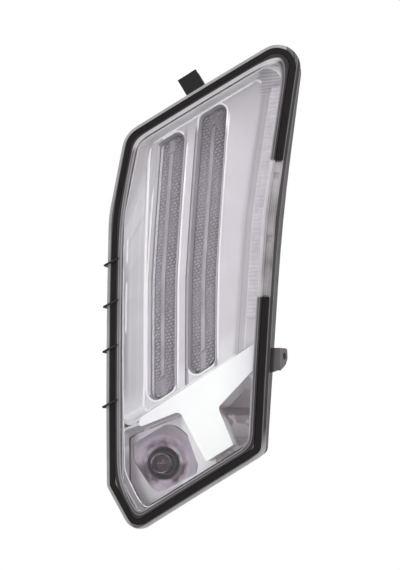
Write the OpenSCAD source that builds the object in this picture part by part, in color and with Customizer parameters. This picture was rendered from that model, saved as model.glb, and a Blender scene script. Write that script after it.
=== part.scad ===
// Daytime running light: a tall clear-lensed bumper lamp with two light windows over a bulb chamber.
// X runs to the right and Z up as seen from in front of the lamp. Y runs back into the bumper.
// The origin is the middle of the bore in the side ear, which fixes the lamp.

/* [Outline] */
// Height of the left side, from the chin corner to the shoulder
side_h = 162.4; // [158:0.2:167]
// Lean of the left side to the right at its upper end
side_lean = 2.5; // [1:0.1:4]
// Height of the leaning shoulder above the left side
shoulder_h = 50.6; // [46:0.2:55]
// Lean of the shoulder to the right at its upper end
shoulder_in = 9.2; // [8:0.1:11]
// Width of the lamp along its top edge
top_run = 110; // [106:0.1:113]
// Slope of the top edge
top_slope = 30.9; // [29.5:0.1:33]
// Width of the lamp along its bottom edge
bottom_run = 81; // [78:0.1:84]
// Slope of the bottom edge
bottom_slope = 31.2; // [30:0.1:32.5]
// Height of the lower right side, up to its bend
waist_h = 141.3; // [134:0.1:148]
// Lean of the lower right side to the right at the bend
waist_out = 9.3; // [8:0.1:11]
// Drop of the cut chin corner below the left side
chin_drop = 29.8; // [27:0.1:33]
// Width of the cut chin corner
chin_in = 15.8; // [14.5:0.1:17.5]

/* [Crown] */
// Radius of the crowned front
crown_r = 900; // [800:5:1200]

/* [Lens] */
// Thickness of the clear front
lens_t = 2.6; // [2:0.1:3]
// Width of the flange round the raised face
flange_w = 6.2; // [6.1:0.05:6.6]
// Thickness of the flange
flange_t = 2.6; // [2:0.1:3]
// Step from the face back to the flange
face_step = 3.6; // [3.2:0.1:4]
// Thickness of the leg that stands in the sealing channel
leg_t = 1.4; // [1.2:0.05:1.6]
// Length of the leg behind the flange
leg_h = 10.5; // [9:0.1:11]

/* [Gasket] */
// Width of the lens lip that shows outside the gasket
lip_w = 2.4; // [2:0.05:2.6]
// Width of the gasket
gasket_w = 3.5; // [3:0.05:3.6]
// Thickness of the gasket
gasket_t = 3.2; // [2.5:0.1:3.4]

/* [Housing] */
// Wall of the housing
wall_t = 2; // [1.8:0.05:2.2]
// Width of the sealing channel
channel_w = 2.9; // [2.8:0.05:3.1]
// Depth of the sealing channel
channel_h = 12; // [11.5:0.1:12.5]
// Distance from the front of the lens to the step in the housing
step_y = 38; // [35:0.5:42]
// Distance from the front of the lens to the back of the housing
back_y = 66; // [65:0.5:70]
// Inset of the rear tub from the lens edge
tub_in = 8.5; // [7.5:0.1:9]
// Thickness of the ribs on the back
rib_t = 1.8; // [1.2:0.1:2.4]
// Height of the ribs on the back
rib_h = 5; // [3:0.5:7]

/* [Fixings] */
// Bore of the side ear
ear_bore = 4.4; // [3.5:0.1:5.5]
// Thickness of the side ear
ear_t = 2.6; // [2:0.1:3]
// Height of the side ear
ear_h = 13; // [10:0.5:16]
// Width of the tongue on the top edge
tongue_w = 12.8; // [10:0.2:16]
// Thickness of the tongue
tongue_t = 3; // [2:0.1:4]
// Reach of the tongue past the lens edge
tongue_reach = 12; // [9:0.5:14]
// Diameter of the locating stud on the back
stud_d = 8; // [6:0.1:10]
// Length of the locating stud
stud_h = 11; // [8:0.5:14]
// Width of each wire clip on the left rim
clip_d = 1.4; // [1:0.1:1.6]

/* [Bezel] */
// Wall of the bezel and the trim
bezel_t = 1.6; // [1.4:0.05:1.8]
// Depth from the lens front to the floor between the windows
floor_d = 18; // [17.5:0.1:18.4]
// Height of the lower band's top edge over the middle of the crown, below it
band_z = -60; // [-63:0.5:-57]
// Slope of the lower band
band_slope = 32; // [30:0.5:34]
// Width of the bezel's sloping left wall
left_wall = 11.3; // [9:0.1:12]
// Width of the bezel's sloping wall beside the shoulder
shoulder_wall = 5.6; // [4.5:0.1:7]
// Width of the bezel's sloping top wall
top_wall = 1.2; // [0.8:0.1:2]
// Width of the bezel's sloping right wall
right_wall = 13.3; // [12:0.1:14.5]

/* [Windows] */
// Width of each light window
window_w = 16.4; // [15.5:0.1:17.2]
// Width of the pillar between the windows
pillar_gap = 8.4; // [7.8:0.1:9.5]
// Distance from the front of the bezel floor to the light lenses
window_d = 7; // [6:0.2:8]
// Draught of the window walls over their depth
window_draught = 1; // [0.6:0.1:1.4]
// Thickness of the light lenses
light_lens_t = 2.4; // [2:0.1:2.8]
// Height of the rib down the middle of each light lens
light_rib_h = 1.4; // [0.8:0.1:2]
// Pitch of the pillows down the light lenses
pillow_pitch = 3; // [2.5:0.1:4]

/* [Light unit] */
// Distance from the lens front to the circuit board
board_y = 44; // [43:0.2:46]
// Thickness of the circuit boards
board_t = 1.6; // [1:0.1:1.7]
// Size of one light-emitting diode
led_s = 3; // [2.5:0.1:3.5]
// Pitch of the diodes
led_pitch = 17; // [15:0.5:20]
// Thickness of the heat sink plate
sink_t = 2; // [1.5:0.1:2.4]
// Height of the heat sink fins
fin_h = 5; // [3:0.2:5.5]

/* [Bulb] */
// Diameter of the bulb glass
bulb_d = 13; // [11:0.2:14]
// Diameter of the hole in the reflector
reflector_bore = 20; // [18:0.2:21]
// Diameter of the bulb holder's port in the housing
port_d = 28; // [26:0.2:30]
// Overhang of the bulb holder's grip past its collar
grip_rim = 3.5; // [2.5:0.1:4.5]

/* [Connector] */
// Width of the connector socket inside
socket_w = 18; // [16:0.5:20]
// Height of the connector socket inside
socket_h = 10; // [9:0.2:12]
// Depth of the connector socket
socket_l = 13; // [11:0.5:15]
// Number of contact pins
pin_count = 4; // [2:1:5]

/* [Hidden] */

// Facets of round parts and of the crown
$fn = 48;
ball_fn = 240;
// How far an arc's chord may stray from it
chord_tol = 0.05;
// Longest straight stretch in a wall that follows the crown
walk_step = 24;
// Smallest radius left on an inset corner
least_r = 3;
// Gap between two faces that seat on each other
seat = 0.15;
// Gap round a shank, pin or edge that passes through a piece
slip = 0.1;
// Overrun of a cut past the face that it opens
over = 1;

// Outline corners, clockwise from the chin corner seen from the front: x, z and radius
chin = [-52, -120.4];
shoulder = chin + [side_lean, side_h];
brow = shoulder + [shoulder_in, shoulder_h];
tip = brow + top_run * [1, tan(top_slope)];
toe = chin + [chin_in, -chin_drop];
heel = toe + bottom_run * [1, tan(bottom_slope)];
waist = heel + [waist_out, waist_h];
outline = [
  [chin[0], chin[1], 6],
  [shoulder[0], shoulder[1], 72],
  [brow[0], brow[1], 17],
  [tip[0], tip[1], 14],
  [waist[0], waist[1], 1200],
  [heel[0], heel[1], 7.5],
  [toe[0], toe[1], 10]
];

// Depths behind the front of the crown
flange_d = face_step;
flange_back = face_step + flange_t;
channel_floor = flange_back + channel_h;
ledge_d = channel_floor + wall_t;
bezel_back = ledge_d - seat;
rim_d = 8;
window_back = floor_d + window_d;
light_front = window_back + seat;
light_back = light_front + light_lens_t;

// Insets from the lens edge
channel_in = lip_w + wall_t;
inner_wall_in = channel_in + channel_w;
inner_wall_t = 1.4;
leg_in = channel_in + (channel_w - leg_t) / 2;
face_in = flange_w + 2.2;
bezel_in = inner_wall_in + inner_wall_t + slip;
bezel_edge = bezel_in + 1;
ledge_in = bezel_in + 3;
tub_inside = tub_in + wall_t;

function unit(v) = v / norm(v);
function item(list, i) = list[(i + len(list)) % len(list)];
function last(list) = list[len(list) - 1];
function heading(angle) = [cos(angle), sin(angle)];
function inner_side(v) = [v[1], -v[0]];
function spot(c, i) = [item(c, i)[0], item(c, i)[1]];
function edge_inset(d, i) = is_list(d) ? item(d, i) : d;
function middle(points) = [for (k = [0, 1]) [for (p = points) p[k]] * [for (p = points) 1] / len(points)];

// Inner normal of edge i, which leaves corner i
function inward(c, i) = inner_side(unit(spot(c, i + 1) - spot(c, i)));

// Corner i after each edge has moved in by its own inset
function moved(c, i, d) =
  let (
    before = inward(c, i - 1),
    after = inward(c, i),
    d1 = edge_inset(d, i - 1),
    d2 = edge_inset(d, i),
    k = before * after
  )
  spot(c, i) + (before * (d1 - k * d2) + after * (d2 - k * d1)) / (1 - k * k);

// Turn at corner i, negative where the outline bends clockwise
function turn(c, i) =
  let (a = inward(c, i - 1), b = inward(c, i))
  atan2(a[0] * b[1] - a[1] * b[0], a * b);

function corner_arc(c, i, d) =
  let (
    bend = turn(c, i),
    side = bend < 0 ? 1 : -1,
    r0 = item(c, i)[2],
    mean = (edge_inset(d, i - 1) + edge_inset(d, i)) / 2,
    r = side > 0 ? max(r0 - mean, min(r0, least_r)) : r0 + mean,
    a = inward(c, i - 1),
    b = inward(c, i),
    centre = moved(c, i, d) + side * r * (a + b) / (1 + a * b),
    from = atan2(a[1], a[0]),
    steps = max(2, ceil(abs(bend) / (2 * acos(1 - chord_tol / r0))))
  )
  [for (s = [0:steps]) centre - side * r * heading(from + bend * s / steps)];

// Points of a rounded outline, with its long edges divided where walk is true
function rounded(c, d = 0, walk = false) =
  let (arcs = [for (i = [0:len(c) - 1]) corner_arc(c, i, d)])
  [
    for (i = [0:len(c) - 1])
      let (
        start = last(arcs[i]),
        end = item(arcs, i + 1)[0],
        parts = walk ? max(1, ceil(norm(spot(c, i + 1) - spot(c, i)) / walk_step)) : 1
      )
      each concat(arcs[i], [for (s = [1:1:parts - 1]) start + (end - start) * s / parts])
  ];

// Where the line through p along u crosses the line through q along v
function crossing(p, u, q, v) =
  let (w = q - p)
  p + u * (w[0] * v[1] - w[1] * v[0]) / (u[0] * v[1] - u[1] * v[0]);
function edge_x(i, d, z) =
  crossing(spot(outline, i) + inward(outline, i) * d, spot(outline, i + 1) - spot(outline, i), [0, z], [1, 0])[0];

// The crown is a ball that touches y = 0 over the middle of the lamp
crown_at = [(chin[0] + waist[0]) / 2 + 2, (toe[1] + tip[1]) / 2];
function crown_y(p, d) = crown_r - sqrt(pow(crown_r - d, 2) - pow(norm(p - crown_at), 2));

module region(c, d = 0) {
  polygon(rounded(c, d));
}

module ring(c, d_out, d_in) {
  a = rounded(c, d_out);
  b = rounded(c, d_in);
  polygon(concat(a, b), paths = [[for (i = [0:len(a) - 1]) i], [for (i = [0:len(b) - 1]) len(a) + i]]);
}

// A front-view drawing extruded from y0 back to y1
module plate(y0, y1) {
  translate([0, y1, 0]) rotate([90, 0, 0]) linear_extrude(y1 - y0) children();
}

// A round bar along Y at a place in the front view
module bar(at, d, y0, y1) {
  translate([at[0], y0, at[1]]) rotate([-90, 0, 0]) cylinder(d = d, h = y1 - y0);
}

// A box between y0 and y1, centred on a place in the front view
module block(at, size, y0, y1) {
  translate([at[0] - size[0] / 2, y0, at[1] - size[1] / 2]) cube([size[0], y1 - y0, size[1]]);
}

module ball(d) {
  translate([crown_at[0], crown_r, crown_at[1]]) sphere(r = crown_r - d, $fn = ball_fn);
}

// A front-view drawing between two depths behind the crown
module crowned(front, back) {
  difference() {
    crowned_to(front, back_y) children();
    ball(back);
  }
}

// A front-view drawing from a depth behind the crown back to a flat face
module crowned_to(front, y1) {
  intersection() {
    plate(-over, y1) children();
    ball(front);
  }
}

// A wall that runs between two inset outlines and follows the crown, closed by a fan at each end
module loft(c, d_front, front, d_back, back) {
  a = rounded(c, d_front, true);
  b = rounded(c, d_back, true);
  n = len(a);
  points = concat(
    [for (p = a) [p[0], crown_y(p, front), p[1]]],
    [for (p = b) [p[0], crown_y(p, back), p[1]]],
    [for (m = [[middle(a), front], [middle(b), back]]) [m[0][0], crown_y(m[0], m[1]), m[0][1]]]
  );
  faces = [
    for (i = [0:n - 1])
      let (j = (i + 1) % n)
      each [[i, n + i, j], [j, n + i, n + j], [2 * n, i, j], [2 * n + 1, n + j, n + i]]
  ];
  polyhedron(points, faces);
}

// Inset on the line through (d0, in0) and (d1, in1), for one edge or for a list of edges
function slide_in(in0, in1, d0, d1, d) = in0 + (in1 - in0) * (d - d0) / (d1 - d0);

// Places and sizes of the fixings
ear_up = 58.5;
ear_sweep = 72;
ear_web = 7.6;
ear_hole_out = 5.8;
ear_z = heel[1] + ear_up;
ear_wall_x = edge_x(4, lip_w, ear_z);
ear_y = crown_y([ear_wall_x, ear_z], flange_back) + 5;
ear_foot = [ear_wall_x + ear_web, ear_y];
ear_hole = [
  ear_foot[0] + ear_hole_out * cos(ear_sweep) - ear_t / 2 * sin(ear_sweep),
  ear_foot[1] + ear_hole_out * sin(ear_sweep) + ear_t / 2 * cos(ear_sweep),
  ear_z
];
ear_shape = [
  [0, -ear_h * 0.7, 0.5],
  [0, ear_h * 0.37, 0.5],
  [9.6, ear_h * 0.37, 2],
  [10, -ear_h * 0.1, 2],
  [7.6, -ear_h * 0.38, 1.5]
];
web_shape = [
  [-over, -ear_h * 0.85, 0.5],
  [-over, ear_h * 0.37, 0.5],
  [ear_web, ear_h * 0.37, 0.5],
  [ear_web, -ear_h * 0.62, 0.5]
];
tongue_along = 50;
tongue_foot = brow + tongue_along * heading(top_slope);
tongue_y = crown_y(tongue_foot, flange_back) + 2;
clip_zs = [12, -13, -40, -73];
clip_slope = 27;
clip_l = 9;

module placed() {
  translate(-ear_hole) children();
}

module ear() {
  translate([ear_wall_x, ear_y + ear_t, ear_z])
    rotate([90, 0, 0])
      linear_extrude(ear_t) region(web_shape);
  translate([ear_foot[0], ear_foot[1], ear_z])
    rotate([0, 0, ear_sweep])
      translate([0, ear_t, 0])
        rotate([90, 0, 0])
          linear_extrude(ear_t) region(ear_shape);
}

module ear_cut() {
  translate(ear_hole)
    rotate([90, 0, ear_sweep]) cylinder(d = ear_bore, h = ear_t + 2, center = true);
}

// A drawing in the tongue's own frame, x along the top edge and z out of it
module on_top_edge() {
  translate([tongue_foot[0], tongue_y, tongue_foot[1]]) rotate([0, -top_slope, 0]) children();
}

module tongue() {
  root = lip_w + wall_t / 2;
  on_top_edge() {
    translate([-tongue_w / 2, 0, -root]) cube([tongue_w, tongue_t, tongue_reach + root]);
    for (x = [-tongue_w / 2, tongue_w / 2 - rib_t])
      translate([x, 0, -root]) cube([rib_t, tongue_t + 4, tongue_reach + root - 2]);
  }
}

// Windows, light unit and its fixings
bend_z = 5;
lean_low = 0.6;
lean_high = 3.4;
left_x = -27.3;
right_x = left_x + window_w + pillar_gap;
left_top = 13.6;
right_top = 12.6;
window_foot = 4.2;
window_r = 5;
bead_w = 1.2;
bead_h = 0.8;
function lean_x(z) = (z - bend_z) * tan(z < bend_z ? lean_low : lean_high);
function window(x, w, top_in) =
  let (
    low = heading(90 - lean_low),
    high = heading(90 - lean_high),
    along = heading(band_slope),
    top_p = brow + inward(outline, 2) * top_in,
    foot_p = [0, band_z] - inner_side(along) * window_foot,
    top_u = heading(top_slope),
    l = [x, bend_z],
    r = [x + w, bend_z]
  )
  [
    concat(crossing(l, low, foot_p, along), window_r),
    concat(l, 200),
    concat(crossing(l, high, top_p, top_u), window_r),
    concat(crossing(r, high, top_p, top_u), window_r - 1),
    concat(r, 200),
    concat(crossing(r, low, foot_p, along), window_r)
  ];
left_window = window(left_x, window_w, left_top);
right_window = window(right_x, window_w, right_top);
unit_shape = window(left_x, 2 * window_w + pillar_gap, right_top);
unit_grow = 3;
pillar_x = left_x + window_w + pillar_gap / 2;

// The lower band's line crosses the left and right sides
band_along = heading(band_slope);
function band_cross(i, drop) =
  crossing(spot(outline, i), spot(outline, i + 1) - spot(outline, i), [0, band_z - drop], band_along);
upper_shape = [
  concat(band_cross(0, 0), 3),
  outline[1],
  outline[2],
  outline[3],
  outline[4],
  concat(band_cross(4, 0), 3)
];
upper_rim = [for (i = [0:4]) bezel_edge];
upper_rise = [left_wall, shoulder_wall, top_wall, right_wall, right_wall];
loft_front = -6;
loft_back = 24;

// The upper chamber's hollow, grown by the wall where grow is set
module upper_chamber(grow = 0) {
  rim = concat(upper_rim, [0.4]);
  foot = concat(upper_rim + upper_rise, [1.6]);
  loft(
    upper_shape,
    [for (i = [0:5]) slide_in(rim[i], foot[i], rim_d, floor_d, loft_front) - grow],
    loft_front,
    [for (i = [0:5]) slide_in(rim[i], foot[i], rim_d, floor_d, loft_back) - grow],
    loft_back
  );
}

// The lower chamber's roof runs just above the trim's lower edge, where the trim hides it
module lower_chamber(grow = 0) {
  rim = [bezel_edge, 0, 0, 0, bezel_edge, bezel_edge, bezel_edge];
  rise = [1.5, 3, 1.5, 3, 1.5, 1, 1.5];
  loft(
    lower_shape,
    [for (i = [0:6]) slide_in(rim[i], rim[i] + rise[i], rim_d, floor_d, loft_front) - grow],
    loft_front,
    [for (i = [0:6]) slide_in(rim[i], rim[i] + rise[i], rim_d, floor_d, loft_back) - grow],
    loft_back
  );
}

module window_hollow(c) {
  ahead = 3;
  rate = window_draught / window_d;
  loft(c, -ahead * rate, floor_d - ahead, window_draught + ahead * rate, window_back + ahead);
}

module outer_lens() {
  color([0.86, 0.88, 0.9, 0.35])
    placed() {
      crowned(0, lens_t) region(outline, flange_w);
      crowned(0, flange_back) ring(outline, flange_w, face_in);
      crowned(flange_d, flange_back) ring(outline, 0, face_in);
      crowned(flange_d, flange_back + leg_h) ring(outline, leg_in, leg_in + leg_t);
      lens_pads();
    }
}

// Stretch of the right edge where the gasket is left out, and the pads that fill it
gasket_top = 74;
gasket_gap = 82;
gasket_mid = gasket_top - gasket_gap / 2;
pad_clear = 0.5;
lens_pad_h = 1.8;
lens_pad_zs = [[66.6, 72.8], [29, 63], [-7, 25]];
module lens_pads() {
  intersection() {
    crowned(flange_d - lens_pad_h, flange_d + 1) ring(outline, lip_w + pad_clear, flange_w + seat);
    for (z = lens_pad_zs)
      block([edge_x(3, 0, z[0]), (z[0] + z[1]) / 2], [30, z[1] - z[0]], -over, 30);
  }
}

module rim_gasket() {
  color([0.06, 0.06, 0.06])
    placed()
      difference() {
        crowned(flange_d - gasket_t, flange_d - seat) ring(outline, lip_w, lip_w + gasket_w);
        block([edge_x(3, 0, gasket_mid), gasket_mid], [30, gasket_gap], -over, 30);
      }
}

module lens_seal() {
  color([0.1, 0.1, 0.1])
    placed()
      difference() {
        crowned(channel_floor - 4, channel_floor - slip) ring(outline, channel_in + slip, inner_wall_in - slip);
        crowned(channel_floor - 5, flange_back + leg_h + slip) ring(outline, leg_in - slip, leg_in + leg_t + slip);
      }
}

// A wire clip: a leg over the gasket, a bend round the lens lip and a return behind the flange
module rim_clip(z) {
  out = clip_d / 2 + slip;
  edge = edge_x(0, 0, z);
  start = [edge - out, z];
  end = start + clip_l * heading(clip_slope);
  front = crown_y(end, -clip_d / 2 - slip);
  back = crown_y(start, flange_back) + clip_d / 2 + 0.3;
  translate([start[0], front, start[1]]) rotate([0, 90 - clip_slope, 0]) cylinder(d = clip_d, h = clip_l);
  translate([end[0], front, end[1]]) sphere(d = clip_d);
  translate([start[0], front, start[1]]) sphere(d = clip_d);
  bar(start, clip_d, front, back);
  translate([start[0], back, start[1]]) sphere(d = clip_d);
  translate([start[0], back, start[1]]) rotate([0, 90, 0]) cylinder(d = clip_d, h = out + lip_w - slip);
}

module rim_clips() {
  color([0.08, 0.08, 0.08])
    placed()
      for (z = clip_zs) rim_clip(z);
}

rim_land = 0.7;
module bezel() {
  color([0.8, 0.81, 0.83])
    placed()
      difference() {
        union() {
          difference() {
            union() {
              intersection() {
                crowned(rim_d, bezel_back) region(outline, bezel_in);
                upper_chamber(bezel_t);
              }
              intersection() {
                crowned(rim_d, bezel_back) region(outline, bezel_in);
                lower_chamber(bezel_t);
              }
              crowned(rim_d, bezel_back) ring(outline, bezel_in, bezel_edge + rim_land);
              window_walls(left_window);
              window_walls(right_window);
            }
            difference() {
              upper_chamber();
              ball(floor_d);
            }
            lower_chamber();
          }
          for (c = [left_window, right_window]) window_bead(c);
        }
        crowned(channel_floor - seat, ledge_d + over) ring(outline, 0, ledge_in + seat);
        window_hollow(left_window);
        window_hollow(right_window);
      }
}

module window_walls(c) {
  crowned(floor_d + 0.5, window_back) region(c, -bezel_t);
}

// A raised bead that frames a window on the floor between the walls
module window_bead(c) {
  crowned(floor_d - bead_h, floor_d + 0.5) ring(c, -bead_w, 0.4);
}

// A serrated strip lies on the outer half of the bezel's right wall. Its ridges run across the wall.
strip_in = 0.3;
strip_w = 6.3;
strip_t = 0.9;
ridge_h = 0.7;
ridge_pitch = 2.4;
strip_low = 60;
strip_high = 38;
function strip_edge(d) = rounded(upper_shape, [0, 0, 0, bezel_edge + d, bezel_edge + d, 0]);
function wall_depth(d) = rim_d + d * (floor_d - rim_d) / right_wall;
module side_strip() {
  foot = waist[1] - strip_low;
  head = tip[1] - strip_high;
  count = 2 * floor((head - foot) / ridge_pitch);
  sides = [strip_in, strip_in + strip_w];
  edges = [for (d = sides) strip_edge(d)];
  rows = [for (j = [0:count]) foot + (head - foot) * j / count];
  points = [
    for (j = [0:count])
      let (xs = [for (e = edges) row_span(e, rows[j])[1]])
      for (k = [[0, 0], [0, 1], [1, 1], [1, 0]])
        let (
          p = [xs[k[0]], rows[j]],
          lift = k[1] * (strip_t + (j % 2) * ridge_h)
        )
        [p[0], crown_y(p, wall_depth(sides[k[0]]) - seat - lift), p[1]]
  ];
  faces = concat(
    [
      for (j = [0:count - 1])
        for (k = [0:3])
          let (a = 4 * j + k, b = 4 * j + (k + 1) % 4)
          each [[a, b, b + 4], [a, b + 4, a + 4]]
    ],
    [[0, 2, 1], [0, 3, 2], [4 * count, 4 * count + 1, 4 * count + 2], [4 * count, 4 * count + 2, 4 * count + 3]]
  );
  color([0.85, 0.86, 0.88])
    placed() polyhedron(points, faces);
}

// Pockets of the lower chamber, either side of the trim's pillar
post_right_top = [17, -73.4];
post_right_lean = 68.3;
post_left_top = [-6.6, -75.6];
post_left_lean = 62.5;
pocket_gap = 1.2;
trim_t = 1.9;
trim_d = rim_d - seat - trim_t;

function lower_line(i, d) = spot(outline, i) + inward(outline, i) * d;
function lower_run(i) = spot(outline, i + 1) - spot(outline, i);
function side_at(i, d, p, u) = crossing(lower_line(i, d), lower_run(i), p, u);

left_down = heading(-post_left_lean);
right_down = heading(-post_right_lean);
roof_left_slope = 21;
roof_right_slope = 46;
roof_up = 1.6;
lower_shape = [
  outline[0],
  concat(side_at(0, 0, post_left_top + [0, roof_up], heading(roof_left_slope)), 3),
  concat(post_left_top + [0, roof_up], 4),
  concat(post_right_top + [0, roof_up], 7),
  concat(side_at(4, 0, post_right_top + [0, roof_up], heading(roof_right_slope)), 3),
  outline[5],
  outline[6]
];
foot_u = lower_run(5);
ceiling_p = [0, band_z - 11.5];
ceiling_u = heading(30.5);
pocket_in = bezel_edge + 2.6;
left_flange = [
  concat(side_at(6, pocket_in, lower_line(0, pocket_in), lower_run(0)), 4),
  concat(side_at(0, pocket_in, ceiling_p, ceiling_u), 4),
  concat(crossing(ceiling_p, ceiling_u, post_left_top + [pocket_gap, 0], left_down), 9),
  concat(side_at(5, pocket_in, post_left_top + [pocket_gap, 0], left_down), 4),
  concat(side_at(5, pocket_in, lower_line(6, pocket_in), lower_run(6)), 6)
];

// The bowl's opening is a rounded square about the bulb
bulb_at = [-23.3, -106.6];
left_pocket = [
  concat(bulb_at + [-15, 1.6], 5),
  concat(bulb_at + [-15.4, 11.4], 4),
  concat(bulb_at + [6.3, 24], 9),
  concat(bulb_at + [17.3, 21.1], 7),
  concat(bulb_at + [26.3, -4.9], 5),
  concat(bulb_at + [-1.5, -19.2], 7)
];
right_pocket = [
  concat(side_at(5, pocket_in, post_right_top - [pocket_gap, 0], right_down), 3),
  concat(post_right_top - [pocket_gap, 0] - right_down * 1.5, 3),
  concat(side_at(4, pocket_in, post_right_top - [pocket_gap, 0] + [0, 1.5], heading(44)), 3),
  concat(side_at(5, pocket_in, lower_line(4, pocket_in), lower_run(4)), 4)
];

// The band and its pillar. It stops short of the left wall and meets the right one.
post_end = 14.5;
trim_end = -32.6;
trim_shape = [
  concat(crossing(post_left_top, heading(roof_left_slope), [trim_end, 0], [0, 1]), 1.5),
  concat(crossing([0, band_z], band_along, [trim_end + 2, 0], [0, 1]), 1.5),
  concat(side_at(4, bezel_edge, [0, band_z], band_along), 1),
  concat(side_at(4, bezel_edge, post_right_top, heading(roof_right_slope)), 1),
  concat(post_right_top, 3),
  concat(side_at(5, post_end, post_right_top, right_down), 1),
  concat(side_at(5, post_end, post_left_top, left_down), 1),
  concat(post_left_top, 3.5)
];

function along_edge(c, i, share, d) = spot(c, i) + share * (spot(c, i + 1) - spot(c, i)) + inward(c, i) * d;

// The trim's leg follows the pillar's sides and foot below the chamber's roof, and stands on the flanges
function trim_leg(d) =
  concat(
    [along_edge(trim_shape, 4, 0.26, d)],
    corner_arc(trim_shape, 5, d),
    corner_arc(trim_shape, 6, d),
    [along_edge(trim_shape, 6, 0.8, d)]
  );

module lower_trim() {
  outer = trim_leg(slip);
  inner = trim_leg(slip + bezel_t);
  color([0.95, 0.95, 0.96])
    placed() {
      crowned(trim_d, rim_d - seat) region(trim_shape, slip);
      crowned(trim_d + trim_t / 2, ledge_d)
        polygon(concat(outer, [for (i = [len(inner) - 1:-1:0]) inner[i]]));
    }
}

// A light lens is one grid: a flat flange round a pad of pillow optics, with a rib down the middle.
// Its rows slope with the window's foot, and its columns keep to the outlines of the flange and the pad.
lens_grow = 1.4 - window_draught;
pad_in = window_draught + 0.35;
lens_flange = 1.7;
lens_step = 0.05;
pad_h = 1.2;
pillow_h = 0.5;
rib_w = 2.6;
pillow_peaks = [0, 0, 0, 1, 0, 1, 0, 0, 0, 0, 1, 0, 1, 0, 0, 0];

// A place in the rows' own frame: how far along its row from the window's left side, and the row's height
function sheared(p, x) =
  let (a = p[0] - x - lean_x(p[1]))
  [a, p[1] - a * tan(band_slope)];
function unsheared(a, row, x) =
  let (z = row + a * tan(band_slope))
  [x + a + lean_x(z), z];

// Where a row enters and leaves a sheared outline, or nothing where it misses it
function row_span(points, row) =
  let (
    hits = [
      for (k = [0:len(points) - 1])
        let (p = points[k], q = item(points, k + 1))
        if ((p[1] - row) * (q[1] - row) < 0) p[0] + (q[0] - p[0]) * (row - p[1]) / (q[1] - p[1])
    ]
  )
  len(hits) < 2 ? [] : [min(hits), max(hits)];

// Columns of a row from the flange's edge over the pad and its rib to the other edge
function lens_columns(rim, pad) =
  let (
    ends = len(pad) == 2 ? pad : [rim[0] + lens_flange, rim[1] - lens_flange],
    w = ends[1] - ends[0],
    rib = 0.5 - rib_w / 2 / (window_w - 2 * pad_in),
    half = concat([for (i = [0:4]) rib * i / 4], [rib + 0.015])
  )
  concat(
    [rim[0], ends[0] - lens_step],
    [for (f = half) ends[0] + w * f],
    [for (i = [len(half) - 1:-1:0]) ends[1] - w * half[i]],
    [ends[1] + lens_step, rim[1]]
  );

// Height of the front over the flange at column i and row j
function lens_relief(i, j, on_pad, rib_on) =
  !on_pad || i < 2 || i > 13 ? 0
  : i > 6 && i < 9 ? pad_h + (rib_on ? light_rib_h : 0)
  : pad_h + (pillow_peaks[i] * (j % 2) > 0 ? pillow_h : 0);

module light_lens(c, x) {
  rim_points = [for (p = rounded(c, -lens_grow)) sheared(p, x)];
  pad_points = [for (p = rounded(c, pad_in)) sheared(p, x)];
  foot = min([for (p = rim_points) p[1]]);
  head = max([for (p = rim_points) p[1]]);
  pad_foot = min([for (p = pad_points) p[1]]) + 0.02;
  pad_head = max([for (p = pad_points) p[1]]) - 0.3;
  bands = 2 * floor((pad_head - pad_foot) / pillow_pitch);
  rows = concat(
    [foot + 0.02, foot + 0.3, foot + 0.8, pad_foot - lens_step],
    [for (j = [0:bands]) pad_foot + (pad_head - pad_foot) * j / bands],
    [pad_head + lens_step, head - 0.8, head - 0.3]
  );
  n = len(rows);
  spans = [for (row = rows) row_span(rim_points, row)];
  cols = 16;
  front = [
    for (j = [0:n - 1])
      let (
        on_pad = rows[j] > pad_foot - lens_step / 2 && rows[j] < pad_head + lens_step / 2,
        pad = on_pad ? row_span(pad_points, rows[j]) : [],
        a = lens_columns(spans[j], pad),
        share = (rows[j] - foot) / (head - foot),
        rib_on = share > 0.08 && share < 0.93
      )
      for (i = [0:cols - 1])
        let (p = unsheared(a[i], rows[j], x))
        [p[0], crown_y(p, light_front - lens_relief(i, j, on_pad, rib_on)), p[1]]
  ];
  back = [
    for (j = [0:n - 1])
      for (a = spans[j])
        let (p = unsheared(a, rows[j], x))
        [p[0], crown_y(p, light_back), p[1]]
  ];
  function f(j, i) = j * cols + i;
  function b(j, i) = n * cols + 2 * j + i;
  r = cols - 1;
  faces = concat(
    [
      for (j = [0:n - 2])
        for (i = [0:cols - 2])
          each [[f(j, i), f(j + 1, i), f(j + 1, i + 1)], [f(j, i), f(j + 1, i + 1), f(j, i + 1)]]
    ],
    [
      for (j = [0:n - 2])
        each [
          [b(j, 0), b(j + 1, 1), b(j + 1, 0)], [b(j, 0), b(j, 1), b(j + 1, 1)],
          [b(j, 0), b(j + 1, 0), f(j + 1, 0)], [b(j, 0), f(j + 1, 0), f(j, 0)],
          [f(j, r), f(j + 1, r), b(j + 1, 1)], [f(j, r), b(j + 1, 1), b(j, 1)]
        ]
    ],
    [for (i = [0:r - 1]) each [[b(0, 0), f(0, i), f(0, i + 1)], [b(n - 1, 0), f(n - 1, i + 1), f(n - 1, i)]]],
    [[b(0, 0), f(0, r), b(0, 1)], [b(n - 1, 0), b(n - 1, 1), f(n - 1, r)]]
  );
  polyhedron(concat(front, back), faces);
}

module left_light_lens() {
  color([0.62, 0.61, 0.66, 0.8])
    placed() light_lens(left_window, left_x);
}

module right_light_lens() {
  color([0.62, 0.61, 0.66, 0.8])
    placed() light_lens(right_window, right_x);
}

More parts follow.
